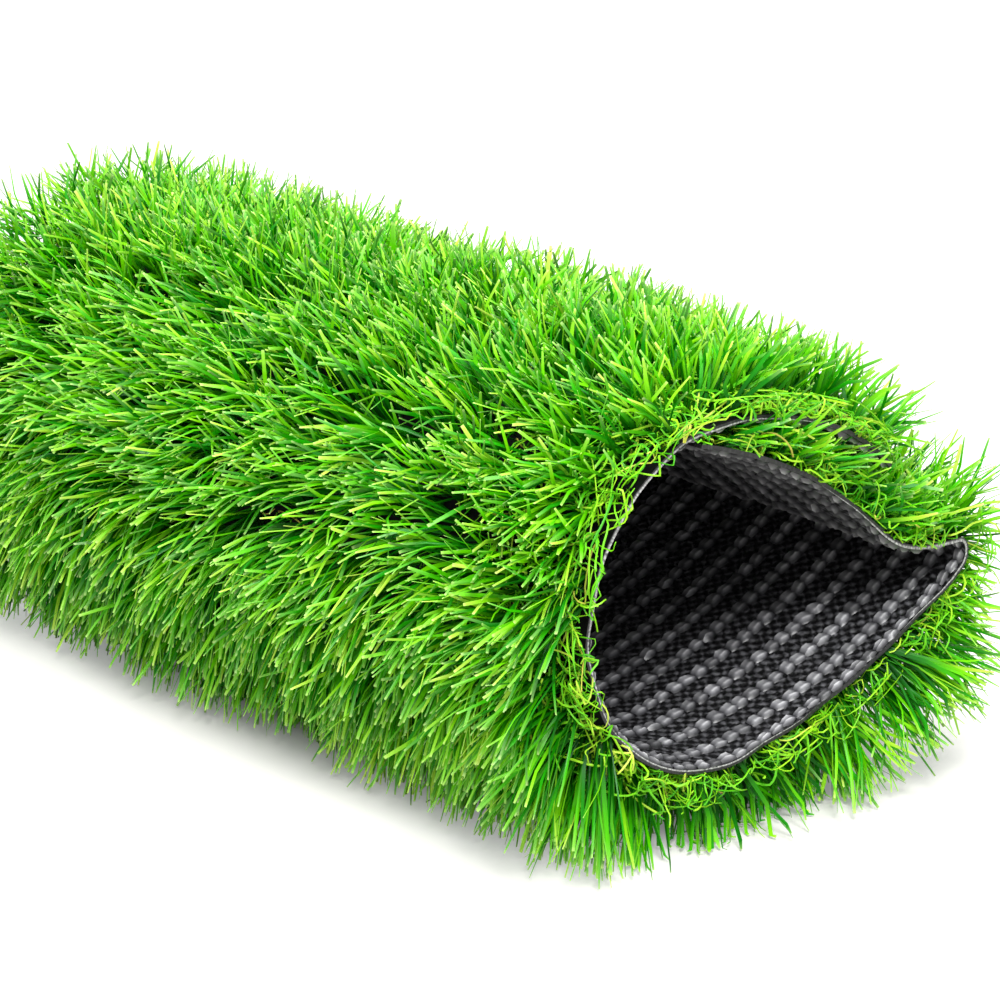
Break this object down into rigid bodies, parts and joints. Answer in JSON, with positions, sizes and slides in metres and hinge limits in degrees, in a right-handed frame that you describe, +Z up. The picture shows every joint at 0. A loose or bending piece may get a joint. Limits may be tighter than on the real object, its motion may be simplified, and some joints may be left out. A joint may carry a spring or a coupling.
{
  "type": "roll of turf",
  "caption": "Loosely curled roll of artificial turf lying on its side, long grass pile outward, woven backing inside, one end folded under the outer turn.",
  "frame": {"origin": "middle of the roll's footprint, on the floor", "axes": "+X along the roll toward its open pictured end, +Z up"},
  "size_m": [0.408, 0.2614, 0.1918],
  "materials": {
    "backing": "coated woven cloth",
    "grass": "extruded blades with a slight sheen"
  },
  "bodies": {
    "root": {"backing": "backing", "pile": "grass"}
  },
  "joints": []
}
